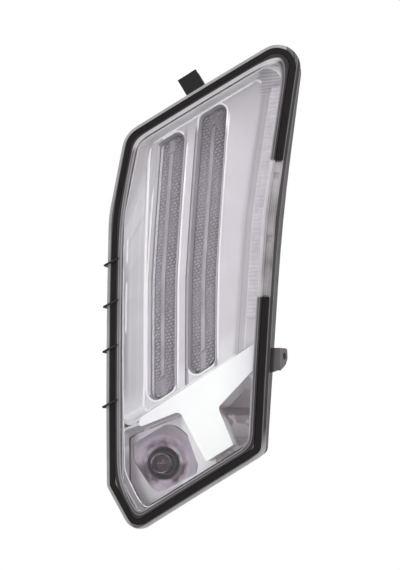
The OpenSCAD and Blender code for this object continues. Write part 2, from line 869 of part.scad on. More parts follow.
// Light unit
ear_d = 8;
carrier_ear_t = 4;
carrier_ears = [[-1, -30], [-1, 42], [1, -30], [1, 60]];
function unit_edge(side, z) =
  lean_x(z) + (side < 0 ? left_x - unit_grow : left_x + 2 * window_w + pillar_gap + unit_grow);
function carrier_ear(e) = [unit_edge(e[0], e[1]) + e[0] * (ear_d / 2 + 0.4), e[1]];
carrier_back = board_y;
screw_d = 2.9;
pillar_zs = [-48, -8, 32, 72];
function pillar_spot(z) = [pillar_x + lean_x(z), z];
board_front = board_y + slip;
board_back = board_front + board_t;
sink_front = board_back + slip;
sink_back = sink_front + sink_t;
small_screw_d = 2;
small_bore = small_screw_d + 2 * slip;

module light_carrier() {
  color([0.92, 0.92, 0.9])
    placed()
      difference() {
        union() {
          intersection() {
            crowned_to(light_back + seat, carrier_back) region(unit_shape, -unit_grow);
            plate(0, back_y) region(outline, tub_inside + 0.4);
          }
          for (e = carrier_ears) {
            bar(carrier_ear(e), ear_d, carrier_back - carrier_ear_t, carrier_back);
            block(
              carrier_ear(e) - [e[0] * 3, 0],
              [ear_d * 0.8, ear_d * 0.8],
              carrier_back - carrier_ear_t,
              carrier_back
            );
          }
        }
        for (c = [left_window, right_window]) plate(0, back_y) region(c, window_draught + 0.6);
        for (e = carrier_ears) bar(carrier_ear(e), screw_d + 2 * slip, carrier_back - 8, carrier_back + over);
        for (z = pillar_zs) bar(pillar_spot(z), small_bore, carrier_back - 7, carrier_back + over);
      }
}

module led_board() {
  color([0.1, 0.35, 0.18])
    placed()
      difference() {
        plate(board_front, board_back) intersection() {
          region(unit_shape, -1);
          region(outline, tub_inside + 0.6);
        }
        for (z = pillar_zs) bar(pillar_spot(z), small_bore, board_y - over, board_back + over);
      }
}

// Light-emitting diodes along the middle of each window
module leds() {
  color([0.95, 0.9, 0.6])
    placed()
      for (w = [[left_window, left_x], [right_window, right_x]])
        for (z = [w[0][0][1] + 10:led_pitch:w[0][2][1] - 6]) {
          at = [w[1] + window_w / 2 + lean_x(z), z];
          block(at, [led_s, led_s], board_y - 1, board_y);
          bar(at, led_s * 0.8, board_y - 1.6, board_y - 0.5);
        }
}

sink_foot = 16;
module heat_sink() {
  color([0.75, 0.76, 0.78])
    placed()
      difference() {
        union() {
          plate(sink_front, sink_back) sink_area(1.5);
          intersection() {
            plate(sink_front, sink_back + fin_h) sink_area(2.5);
            union() {
              for (z = [unit_shape[0][1] + sink_foot:8:unit_shape[3][1]])
                block([0, z], [200, 1.4], sink_front, sink_back + fin_h);
            }
          }
        }
        for (z = pillar_zs) {
          bar(pillar_spot(z), small_bore, sink_front - over, sink_back + over);
          bar(pillar_spot(z), 7, sink_back, sink_back + fin_h + over);
        }
        block(header_at, header_size + [3, 3], sink_front - over, sink_back + fin_h + over);
      }
}

module sink_area(d) {
  intersection() {
    region(unit_shape, [d, d, d, d, d, sink_foot]);
    region(outline, tub_inside + 1);
  }
}

// A pan-head screw along Y, its head towards head_y
small_head_d = 4.2;
small_head_t = 1.5;
screw_head_d = 5.6;
screw_head_t = 2;
carrier_bite = 11;
module screw(at, d, head_d, head_y, head_t, tip_y) {
  toward = tip_y > head_y ? 1 : -1;
  bar(at, head_d, min(head_y, head_y + toward * head_t), max(head_y, head_y + toward * head_t));
  bar(at, d, min(head_y + toward * head_t / 2, tip_y), max(head_y + toward * head_t / 2, tip_y));
}

module board_screws() {
  color([0.6, 0.6, 0.62])
    placed()
      for (z = pillar_zs)
        screw(
          pillar_spot(z),
          small_screw_d,
          small_head_d,
          sink_back + slip + small_head_t,
          small_head_t,
          board_y - 6
        );
}

module carrier_screws() {
  color([0.6, 0.6, 0.62])
    placed()
      for (e = carrier_ears)
        screw(
          carrier_ear(e),
          screw_d,
          screw_head_d,
          carrier_back - carrier_ear_t - slip - screw_head_t,
          screw_head_t,
          carrier_back + carrier_bite
        );
}

// Driver board on four posts of the back wall
tub_floor = back_y - wall_t;
driver_at = [-6, 12];
driver_size = [34, 56];
driver_gap = 4.4;
driver_post_d = 5;
driver_back = tub_floor - driver_gap;
driver_front = driver_back - board_t;
post_in = 3.5;
driver_posts = [
  for (x = [-1, 1])
    for (z = [-1, 1]) driver_at + [x * (driver_size[0] / 2 - post_in), z * (driver_size[1] / 2 - post_in)]
];
socket_at = driver_at + [0, 14];
pin_pitch = 3.4;
function pin_x(i) = socket_at[0] + (i - (pin_count - 1) / 2) * pin_pitch;
pin_w = 1.5;
pin_t = 0.8;
pin_slot = [pin_w + 2 * slip, pin_t + 2 * slip];

module driver_board() {
  color([0.1, 0.35, 0.18])
    placed()
      difference() {
        block(driver_at, driver_size, driver_front, driver_back);
        for (p = driver_posts) bar(p, small_bore, driver_front - over, driver_back + over);
        for (i = [0:pin_count - 1])
          block([pin_x(i), socket_at[1]], pin_slot, driver_front - over, driver_back + over);
      }
}

// Coil and three packages on the driver board: place, size and height of each
coil = [[8, -2], 7, 2.9];
packages = [[[-7, 2], [8, 10], 2.4], [[-6, -12], [6, 5], 1.4], [[6, -13], [5, 4], 1.2]];
module driver_parts() {
  color([0.15, 0.15, 0.17])
    placed() {
      bar(driver_at + coil[0], coil[1], driver_front - coil[2], driver_front);
      for (p = packages) block(driver_at + p[0], p[1], driver_front - p[2], driver_front);
    }
}

module driver_screws() {
  color([0.6, 0.6, 0.62])
    placed()
      for (p = driver_posts)
        screw(p, small_screw_d, small_head_d, driver_front - slip - small_head_t, small_head_t, tub_floor - 0.6);
}

// Header between the two boards
header_size = [10, 2.6];
header_at = driver_at - [0, driver_size[1] / 2 - post_in];
module board_header() {
  color([0.9, 0.88, 0.8])
    placed() block(header_at, header_size, board_back, driver_front);
}

module connector_pins() {
  color([0.78, 0.72, 0.5])
    placed()
      for (i = [0:pin_count - 1])
        block([pin_x(i), socket_at[1]], [pin_w, pin_t], driver_front - 0.8, back_y + socket_l * 0.65);
}

// Bulb chamber
bowl_front = 20;
neck_y = 47;
bowl_d = ledge_d + seat;
bowl_r = 25;

// A bowl of revolution about the bulb's axis, open to the front
module dish(grow) {
  steps = 8;
  span = neck_y - bowl_front;
  curve = [
    for (i = [0:steps])
      let (t = i / steps)
      [reflector_bore / 2 + 2 + grow + (bowl_r - reflector_bore / 2) * sqrt(1 - t), bowl_front + span * t]
  ];
  translate([bulb_at[0], 0, bulb_at[1]])
    rotate([-90, 0, 0])
      rotate_extrude($fn = 96) polygon(concat([[0, bowl_front]], curve, [[0, neck_y + grow]]));
}

module bulb_reflector() {
  color([0.7, 0.69, 0.72])
    placed()
      difference() {
        union() {
          crowned(bowl_d, bowl_d + bezel_t) pocket_flange(left_flange);
          intersection() {
            crowned_to(bowl_d, neck_y + 2) region(left_pocket, -bezel_t);
            dish(bezel_t);
          }
          bar(bulb_at, reflector_bore + 2 * bezel_t, neck_y - 1, tub_floor - 5);
        }
        intersection() {
          plate(0, neck_y) region(left_pocket);
          dish(0);
        }
        bar(bulb_at, reflector_bore, neck_y - 5, back_y);
      }
}

module pocket_flange(c) {
  intersection() {
    region(c, -3);
    region(outline, channel_in + 1);
  }
}

// Its back steps in and out in facets that run across the pocket
facet_y = 34;
facet_depth = 12;
module corner_reflector() {
  top = right_pocket[2][1] + 2;
  low = right_pocket[0][1] - 4;
  facets = [
    [facet_y - 2, top],
    [facet_y + 8, top - 22],
    [facet_y + 1, top - 27],
    [facet_y + 7, top - 40],
    [facet_y + 1, low]
  ];
  color([0.66, 0.65, 0.68])
    placed() {
      difference() {
        crowned(bowl_d, bowl_d + bezel_t) pocket_flange(right_pocket);
        plate(0, back_y) region(right_pocket, 0.4);
      }
      intersection() {
        crowned_to(bowl_d, facet_y + facet_depth) ring(right_pocket, -bezel_t, 0.4);
        plate(0, back_y) region(outline, tub_inside + 1);
      }
      intersection() {
        plate(0, back_y) region(right_pocket);
        rotate([90, 0, 90])
          linear_extrude(60)
            polygon(concat(facets, [for (i = [len(facets) - 1:-1:0]) facets[i] + [bezel_t, 0]]));
      }
    }
}

// Bulb with its wedge base, holder and seal
holder_front = tub_floor - 4;
glass_back = 53;
glass_l = 14;
glass_wall = 0.8;
filament_w = 4;
lead_d = 0.5;
base_d = 14;
base_t = 4;
wedge = [10, 5];
wedge_bite = 6;
plug_hole = [13.6, 7.6];
plug_wall = 1.7;
holder_d = port_d - 1;
grip_d = holder_d + 2 * grip_rim;
seal_t = 2.2;
grip_y = back_y + seal_t + 0.1;
grip_t = 3;
holder_l = 14;

module bulb_glass() {
  r = bulb_d / 2;
  color([0.92, 0.94, 0.96, 0.4])
    placed()
      translate([bulb_at[0], 0, bulb_at[1]])
        rotate([-90, 0, 0])
          difference() {
            union() {
              translate([0, 0, glass_back - glass_l]) sphere(r = r);
              translate([0, 0, glass_back - glass_l]) cylinder(r = r, h = glass_l);
            }
            translate([0, 0, glass_back - glass_l]) sphere(r = r - glass_wall);
            translate([0, 0, glass_back - glass_l]) cylinder(r = r - glass_wall, h = glass_l + over);
          }
}

lead_xs = [-0.4, 0.4] * filament_w;
module bulb_filament() {
  color([0.5, 0.5, 0.5])
    placed() {
      for (x = lead_xs) bar(bulb_at + [x, 0], lead_d, glass_back - glass_l - 1, glass_back + 0.4);
      translate([bulb_at[0] - filament_w / 2, glass_back - glass_l - 1, bulb_at[1]])
        rotate([0, 90, 0]) cylinder(d = 0.9, h = filament_w);
    }
}

module bulb_base() {
  color([0.85, 0.84, 0.8])
    placed()
      difference() {
        union() {
          bar(bulb_at, base_d, glass_back + slip, glass_back + base_t);
          block(bulb_at, wedge, glass_back + base_t / 2, holder_front + wedge_bite);
        }
        for (x = lead_xs) bar(bulb_at + [x, 0], lead_d + slip, glass_back - over, glass_back + 1);
      }
}

module bulb_holder() {
  color([0.12, 0.12, 0.12])
    placed()
      difference() {
        union() {
          bar(bulb_at, holder_d - 6, holder_front, back_y);
          bar(bulb_at, holder_d, tub_floor - 1, grip_y + over);
          bar(bulb_at, grip_d, grip_y, grip_y + grip_t);
          for (a = [0:30:330])
            translate([bulb_at[0], 0, bulb_at[1]])
              rotate([0, a, 0])
                translate([grip_d / 2 - 0.6, grip_y, -1.6]) cube([1.8, grip_t, 3.2]);
          bar(bulb_at, holder_d - 7, grip_y, grip_y + 7);
          block(bulb_at, plug_hole + [2, 2] * plug_wall, grip_y, grip_y + holder_l);
        }
        block(bulb_at, wedge + [2, 2] * slip, holder_front - over, holder_front + wedge_bite + slip);
        block(bulb_at, plug_hole, grip_y + 4, grip_y + holder_l + over);
      }
}

module holder_seal() {
  color([0.45, 0.1, 0.08])
    placed()
      translate([bulb_at[0], back_y + 0.05, bulb_at[1]])
        rotate([-90, 0, 0])
          difference() {
            cylinder(d = grip_d - 1, h = seal_t);
            translate([0, 0, -over]) cylinder(d = holder_d + 0.6, h = seal_t + 2 * over);
          }
}

// Vent
vent_at = [18, 84];
vent_bore = 5;
vent_pipe = 9;
module vent_cap() {
  color([0.2, 0.2, 0.2])
    placed()
      difference() {
        bar(vent_at, vent_pipe + 5, back_y + 1.2, back_y + 7);
        bar(vent_at, vent_pipe + 2 * slip, back_y, back_y + 5.2);
        for (a = [0:60:120])
          translate([vent_at[0], back_y, vent_at[1]])
            rotate([0, a, 0])
              translate([-10, 0, -0.8]) cube([20, 3, 1.6]);
      }
}

// Housing
stud_at = [16, -84];
module housing() {
  color([0.1, 0.1, 0.11])
    placed()
      difference() {
        union() {
          crowned_to(flange_back + seat, step_y) ring(outline, lip_w, channel_in);
          crowned(flange_back + 0.4, ledge_d) ring(outline, inner_wall_in, inner_wall_in + inner_wall_t);
          crowned(channel_floor, ledge_d) ring(outline, lip_w, ledge_in);
          plate(step_y - wall_t, step_y) ring(outline, lip_w, tub_inside);
          plate(step_y - wall_t, back_y) ring(outline, tub_in, tub_inside);
          plate(tub_floor, back_y) region(outline, tub_in);
          back_ribs();
          for (e = carrier_ears) bar(carrier_ear(e), ear_d - 1, carrier_back + slip, back_y - 0.5);
          for (p = driver_posts) bar(p, driver_post_d, driver_back + slip, back_y - 0.5);
          bar(bulb_at, port_d + 2 * wall_t, tub_floor - 1.6, back_y);
          bar(stud_at, stud_d, back_y - 1, back_y + stud_h);
          bar(stud_at, stud_d + 6, back_y - 1, back_y + 2);
          block(socket_at, [socket_w + 2 * wall_t, socket_h + 2 * wall_t], back_y - 1, back_y + socket_l);
          bar(vent_at, vent_pipe, back_y - 1, back_y + 5);
          ear();
          tongue();
        }
        for (e = carrier_ears)
          bar(carrier_ear(e), screw_d + 2 * slip, carrier_back - over, carrier_back + carrier_bite + 2);
        for (p = driver_posts) bar(p, small_bore, driver_back - over, tub_floor);
        for (i = [0:pin_count - 1])
          block([pin_x(i), socket_at[1]], pin_slot, tub_floor - over, back_y + over);
        block(socket_at, [socket_w, socket_h], back_y, back_y + socket_l + over);
        bar(bulb_at, port_d, tub_floor - 3, back_y + over);
        bar(bulb_at, grip_d + 6, back_y, back_y + rib_h + over);
        bar(vent_at, vent_bore, tub_floor - over, back_y + 6);
        ear_cut();
      }
}

upright_ribs = [-28, 30];
cross_ribs = [-62, -34, 62, 112];
module back_ribs() {
  intersection() {
    plate(back_y - 1, back_y + rib_h) region(outline, tub_in + 3);
    union() {
      for (x = upright_ribs) block([x, 0], [rib_t, 400], back_y - 1, back_y + rib_h);
      for (z = cross_ribs) block([0, z], [200, rib_t], back_y - 1, back_y + rib_h);
    }
  }
}

housing();
outer_lens();
rim_gasket();
lens_seal();
rim_clips();
bezel();
lower_trim();
side_strip();
left_light_lens();
right_light_lens();
light_carrier();
led_board();
leds();
heat_sink();
board_screws();
board_header();
driver_board();
driver_parts();
driver_screws();
carrier_screws();
connector_pins();
bulb_reflector();
corner_reflector();
bulb_glass();
bulb_filament();
bulb_base();
bulb_holder();
holder_seal();
vent_cap();
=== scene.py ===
import math

import bpy
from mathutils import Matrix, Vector


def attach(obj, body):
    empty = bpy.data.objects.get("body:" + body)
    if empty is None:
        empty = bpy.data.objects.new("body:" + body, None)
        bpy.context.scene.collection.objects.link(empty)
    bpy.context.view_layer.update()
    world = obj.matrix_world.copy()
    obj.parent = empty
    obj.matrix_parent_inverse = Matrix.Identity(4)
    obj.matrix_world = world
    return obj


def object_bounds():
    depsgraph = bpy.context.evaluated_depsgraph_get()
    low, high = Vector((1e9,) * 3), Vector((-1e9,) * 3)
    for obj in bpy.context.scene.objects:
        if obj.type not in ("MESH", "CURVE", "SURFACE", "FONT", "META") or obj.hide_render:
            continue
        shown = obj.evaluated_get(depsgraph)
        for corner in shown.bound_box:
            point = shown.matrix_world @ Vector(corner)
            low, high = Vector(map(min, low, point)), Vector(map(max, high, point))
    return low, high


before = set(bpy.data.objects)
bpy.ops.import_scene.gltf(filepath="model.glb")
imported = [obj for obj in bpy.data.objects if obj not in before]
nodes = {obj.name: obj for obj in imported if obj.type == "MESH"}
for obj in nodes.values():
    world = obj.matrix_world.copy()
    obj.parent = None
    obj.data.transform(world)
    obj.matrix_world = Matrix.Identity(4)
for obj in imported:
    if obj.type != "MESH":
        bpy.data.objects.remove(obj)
cad_box = [list(corner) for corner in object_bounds()]

# The lamp's own drawing measures from the middle of its front, in millimetres: +X right, +Y back and +Z up.
# These values repeat the part's.
EAR_HOLE = Vector((54.4011, 19.3877, -42.6447))
CROWN_AT = Vector((3.05, 900, 4.11682))
CROWN_R = 900
OUTLINE = [(-52, -120.4), (-49.5, 42), (-40.3, 92.6), (69.7, 158.434),
           (54.1, 40.155), (44.8, -101.145), (-36.2, -150.2)]
# Edge i runs from corner i to the next
LEFT, SHOULDER, TOP, RIGHT, RIGHT_LOW, BOTTOM, CHIN = range(7)
BULB = (-23.3, -106.6)
TRIM_AT, TRIM_SLOPE = (0, -60), math.radians(32)
WINDOW_BEND_Z, WINDOW_W = 5.0, 16.4
LEAN_BELOW, LEAN_ABOVE = math.tan(math.radians(0.6)), math.tan(math.radians(3.4))
X, Y, Z = range(3)


def to_frame(p):
    """A point of the lamp's drawing in the shared frame, in metres."""
    return (Vector(p) - EAR_HOLE) / 1000


def tone(r, g, b):
    """A colour named by its screen levels, as the renderer's linear values."""
    return tuple((c / 255) / 12.92 if c < 10.3 else ((c / 255 + 0.055) / 1.055) ** 2.4 for c in (r, g, b))


# Camera: long lens, a little to the right of the lamp and a little below its middle
AZIMUTH, ELEVATION, DISTANCE, VIEW_H = math.radians(10), math.radians(-4), 1.5, 0.342
SENSOR_W = 36
middle = to_frame((6.1, 8, 0))
flat = math.cos(ELEVATION)
toward = Vector((math.sin(AZIMUTH) * flat, -math.cos(AZIMUTH) * flat, math.sin(ELEVATION)))
cam_data = bpy.data.cameras.new("camera")
cam_data.sensor_width = SENSOR_W
cam_data.lens = SENSOR_W * DISTANCE / VIEW_H
cam_data.clip_start = 0.05
cam_data.clip_end = 50
camera = bpy.data.objects.new("camera", cam_data)
bpy.context.scene.collection.objects.link(camera)
camera.location = middle + toward * DISTANCE
camera.rotation_euler = toward.to_track_quat("Z", "Y").to_euler()
bpy.context.scene.camera = camera


# ---------- materials ----------
class Mat:
    """A node material with one Principled shader and small helpers for its patterns.

    Masks are 0 to 1. A coat is built up in steps: it starts as one colour, and lay() puts another over it."""

    def __init__(self, name, colour, rough, metal=0.0, **values):
        self.mat = bpy.data.materials.new(name)
        self.mat.use_nodes = True
        self.tree = self.mat.node_tree
        self.tree.nodes.clear()
        self.out = self.add("ShaderNodeOutputMaterial")
        self.bsdf = self.add("ShaderNodeBsdfPrincipled")
        self.link(self.bsdf.outputs[0], self.out.inputs["Surface"])
        self.bsdf.inputs["Base Color"].default_value = (*colour, 1)
        self.bsdf.inputs["Roughness"].default_value = rough
        self.bsdf.inputs["Metallic"].default_value = metal
        for key, value in values.items():
            self.bsdf.inputs[key.replace("_", " ")].default_value = value
        self.object_point = None
        self.drawing_point = None
        self.split = None
        self.coat = None

    def add(self, kind, **values):
        node = self.tree.nodes.new(kind)
        for key, value in values.items():
            setattr(node, key, value)
        return node

    def link(self, a, b):
        self.tree.links.new(a, b)

    def feed(self, socket, value):
        """A number, a colour or another node's output goes into a socket."""
        if hasattr(value, "is_output"):
            self.link(value, socket)
        elif isinstance(value, tuple) and socket.type == "RGBA":
            socket.default_value = (*value, 1)
        else:
            socket.default_value = value

    # Where the shaded point is
    def place(self):
        """The shaded point in the shared frame, in metres."""
        if self.object_point is None:
            self.object_point = self.add("ShaderNodeTexCoord").outputs["Object"]
        return self.object_point

    def lamp_mm(self):
        """The shaded point in the lamp's own drawing, in millimetres."""
        if self.drawing_point is None:
            node = self.vector("MULTIPLY_ADD", self.place(), (1000, 1000, 1000))
            node.inputs[2].default_value = EAR_HOLE
            self.drawing_point = node.outputs["Vector"]
        return self.drawing_point

    def xyz(self, index):
        if self.split is None:
            self.split = self.add("ShaderNodeSeparateXYZ")
            self.link(self.lamp_mm(), self.split.inputs[0])
        return self.split.outputs[index]

    def depth(self):
        """Millimetres behind the crowned front."""
        return self.calc("SUBTRACT", CROWN_R, self.vector("DISTANCE", self.lamp_mm(), CROWN_AT).outputs["Value"])

    def past(self, at, normal):
        """Millimetres past a line in the front view, along its normal."""
        along = self.vector("DOT_PRODUCT", self.lamp_mm(), (normal[0], 0, normal[1]))
        return self.calc("SUBTRACT", along.outputs["Value"], at[0] * normal[0] + at[1] * normal[1])

    def edge(self, i):
        """Millimetres inside one edge of the outline."""
        (ax, az), (bx, bz) = OUTLINE[i], OUTLINE[(i + 1) % 7]
        length = math.hypot(bx - ax, bz - az)
        return self.past((ax, az), ((bz - az) / length, (ax - bx) / length))

    def left_in(self):
        """Millimetres inside the left edge and its shoulder."""
        return self.near(self.edge(LEFT), self.edge(SHOULDER), 5)

    def right_in(self):
        """Millimetres inside the right edge, which bends inwards at its waist."""
        return self.calc("MAXIMUM", self.edge(RIGHT), self.edge(RIGHT_LOW))

    def inset(self):
        """Millimetres inside the whole outline, with its rounded corners."""
        upper = self.near(self.edge(TOP), self.right_in(), 26)
        lower = self.near(self.edge(BOTTOM), self.edge(CHIN), 9)
        return self.near(self.near(upper, self.left_in(), 8), lower, 9)

    def leaned(self, soft=4):
        """How far the windows have leaned to the right at the shaded point's height."""
        above = self.calc("SUBTRACT", self.xyz(Z), WINDOW_BEND_Z)
        return self.calc("MULTIPLY", above, self.spread(self.rise(above, 0, soft), LEAN_BELOW, LEAN_ABOVE))

    # Sums and masks
    def vector(self, operation, a, b):
        node = self.add("ShaderNodeVectorMath", operation=operation)
        self.link(a, node.inputs[0])
        node.inputs[1].default_value = b
        return node

    def calc(self, operation, a, b=0.0):
        node = self.add("ShaderNodeMath", operation=operation)
        self.feed(node.inputs[0], a)
        self.feed(node.inputs[1], b)
        return node.outputs[0]

    def near(self, a, b, bend):
        """The smaller of two distances, rounded where they meet."""
        node = self.add("ShaderNodeMath", operation="SMOOTH_MIN")
        self.feed(node.inputs[0], a)
        self.feed(node.inputs[1], b)
        node.inputs[2].default_value = bend
        return node.outputs[0]

    def rise(self, value, at, soft):
        """0 before a value and 1 past it, with a soft step."""
        node = self.add("ShaderNodeMapRange", interpolation_type="SMOOTHSTEP")
        self.link(value, node.inputs["Value"])
        node.inputs["From Min"].default_value = at - soft / 2
        node.inputs["From Max"].default_value = at + soft / 2
        return node.outputs[0]

    def unless(self, mask):
        return self.calc("SUBTRACT", 1.0, mask)

    def until(self, value, at, soft):
        """1 before a value and 0 past it."""
        return self.unless(self.rise(value, at, soft))

    def within(self, value, low, high, soft):
        return self.both(self.rise(value, low, soft), self.until(value, high, soft))

    def both(self, *masks):
        result = masks[0]
        for mask in masks[1:]:
            result = self.calc("MULTIPLY", result, mask)
        return result

    def spread(self, share, low, high, start=0.0, end=1.0):
        """Takes start to end over to low to high."""
        node = self.add("ShaderNodeMapRange")
        self.link(share, node.inputs["Value"])
        node.inputs["From Min"].default_value = start
        node.inputs["From Max"].default_value = end
        node.inputs["To Min"].default_value = low
        node.inputs["To Max"].default_value = high
        return node.outputs[0]

    def noise(self, scale, detail):
        node = self.add("ShaderNodeTexNoise")
        node.inputs["Scale"].default_value = scale
        node.inputs["Detail"].default_value = detail
        self.link(self.place(), node.inputs["Vector"])
        return node.outputs["Fac"]

    def patches(self, scale, detail, low, high, start, end):
        """Uneven patches from low to high."""
        return self.spread(self.noise(scale, detail), low, high, start, end)

    def ripple(self, value, pitch_rate, low, high):
        """Fine lines that repeat along a value."""
        return self.spread(self.calc("SINE", self.calc("MULTIPLY", value, pitch_rate)), low, high, -1, 1)

    # Colours
    def mix(self, share, a, b, blend="MIX"):
        node = self.add("ShaderNodeMix", data_type="RGBA", blend_type=blend)
        self.feed(node.inputs[0], share)
        self.feed(node.inputs[6], a)
        self.feed(node.inputs[7], b)
        return node.outputs[2]

    def lay(self, mask, colour):
        self.coat = self.mix(mask, self.coat, colour)

    def mottle(self, colour, scale, amount):
        """Slight unevenness of a moulded or coated surface."""
        shade = self.patches(scale, 4, 1 - amount, 1 + amount, 0.3, 0.7)
        grey = self.add("ShaderNodeCombineColor")
        for socket in grey.inputs[:3]:
            self.link(shade, socket)
        return self.mix(1.0, colour, grey.outputs[0], "MULTIPLY")

    # The shader's own sockets
    def colour(self, socket):
        self.link(socket, self.bsdf.inputs["Base Color"])

    def gloss(self, scale, low, high):
        self.link(self.spread(self.noise(scale, 3), low, high), self.bsdf.inputs["Roughness"])

    def bump(self, height, strength, distance):
        node = self.add("ShaderNodeBump")
        node.inputs["Strength"].default_value = strength
        node.inputs["Distance"].default_value = distance
        self.link(height, node.inputs["Height"])
        self.link(node.outputs[0], self.bsdf.inputs["Normal"])

    def lit_through(self):
        """Lamps shine through clear plastic, so that what is behind it is lit."""
        path = self.add("ShaderNodeLightPath")
        clear = self.add("ShaderNodeBsdfTransparent")
        mix = self.add("ShaderNodeMixShader")
        self.link(path.outputs["Is Shadow Ray"], mix.inputs[0])
        self.link(self.bsdf.outputs[0], mix.inputs[1])
        self.link(clear.outputs[0], mix.inputs[2])
        self.link(mix.outputs[0], self.out.inputs["Surface"])


def grained(name, colour, rough, metal=0.0, grain=1800, depth=0.00003, vary=0.12, **values):
    """A moulded or cast surface: fine grain, slightly uneven colour and gloss."""
    m = Mat(name, colour, rough, metal, **values)
    m.colour(m.mottle(colour, 60, vary))
    m.gloss(180, rough * 0.85, min(1, rough * 1.15))
    m.bump(m.noise(grain, 2), 0.35, depth)
    return m


def clear_front():
    """Clear face. The lip outside the gasket and the moulded step inside it are frosted."""
    m = Mat("clear_lens", (1, 1, 1), 0.02, IOR=1.4)
    inset, left, top, right, z = m.inset(), m.left_in(), m.edge(TOP), m.right_in(), m.xyz(Z)
    frost = m.until(inset, 9.2, 0.8)
    # The step is painted with light and shade: darkest along the bottom and lightest along the top
    step = m.mix(m.rise(left, 12, 3), tone(106, 100, 105), tone(62, 56, 61))
    step = m.mix(m.rise(top, 12, 3), tone(186, 182, 187), step)
    # Along the right edge it is cloudy beside the clear pads and dark elsewhere
    beside, pads = m.until(right, 10, 1), m.within(z, -8, 74, 1.5)
    pad = m.mix(m.patches(48, 3, 0, 1, 0.35, 0.65), tone(112, 107, 110), tone(176, 172, 175))
    pad = m.mix(m.rise(inset, 7.4, 1.0), pad, tone(190, 186, 191))
    step = m.mix(beside, step, m.mix(pads, tone(70, 64, 68), pad))
    m.coat = m.mix(m.ripple(inset, 5.2, 0.0, 0.22), step, (0.75, 0.73, 0.76))
    # The gasket's foot shows through, except where the gasket has its gap
    m.lay(m.both(m.within(inset, 5.4, 7.3, 0.5), m.unless(m.both(beside, pads))), tone(40, 34, 37))
    m.coat = m.mix(m.rise(inset, 1.9, 1.0), tone(180, 177, 179), m.coat)
    m.lay(m.both(beside, m.rise(z, -92, 16), m.within(inset, -1, 1.7, 0.5)), tone(64, 59, 62))
    m.colour(m.mix(frost, (0.985, 0.985, 0.99), m.mottle(m.coat, 90, 0.1)))
    m.link(m.spread(frost, 0.02, 0.4), m.bsdf.inputs["Roughness"])
    m.link(m.spread(frost, 1.0, 0.12), m.bsdf.inputs["Transmission Weight"])
    m.bump(m.noise(90, 2), 0.05, 0.0002)
    m.lit_through()
    return m


def gasket_rubber():
    """Black rubber, with a painted sheen in grey patches along its outer left side."""
    black = tone(17, 13, 15)
    m = Mat("gasket_rubber", black, 0.62, Specular_IOR_Level=0.2)
    # Painted sheen: the outer left side is painted grey in patches, as light reflected off the rubber.
    left_sheen = m.both(m.until(m.left_in(), 2.7, 0.9), m.patches(45, 3, 0.5, 1.0, 0.35, 0.65))
    m.colour(m.mottle(m.mix(left_sheen, black, tone(98, 92, 94)), 80, 0.2))
    m.gloss(180, 0.5, 0.7)
    m.bump(m.noise(2600, 2), 0.35, 0.00004)
    return m


def housing_plastic():
    """Dark moulding, with a blacker tongue at the top and a paler screw ear at the right."""
    dark = tone(52, 48, 51)
    m = Mat("housing_plastic", dark, 0.5, Specular_IOR_Level=0.3)
    m.coat = m.mix(m.until(m.edge(TOP), -0.5, 0.6), dark, tone(12, 15, 10))
    m.lay(m.until(m.right_in(), -1.5, 2), tone(98, 94, 95))
    m.colour(m.mottle(m.coat, 60, 0.15))
    m.gloss(180, 0.42, 0.6)
    m.bump(m.noise(2200, 2), 0.35, 0.00005)
    return m


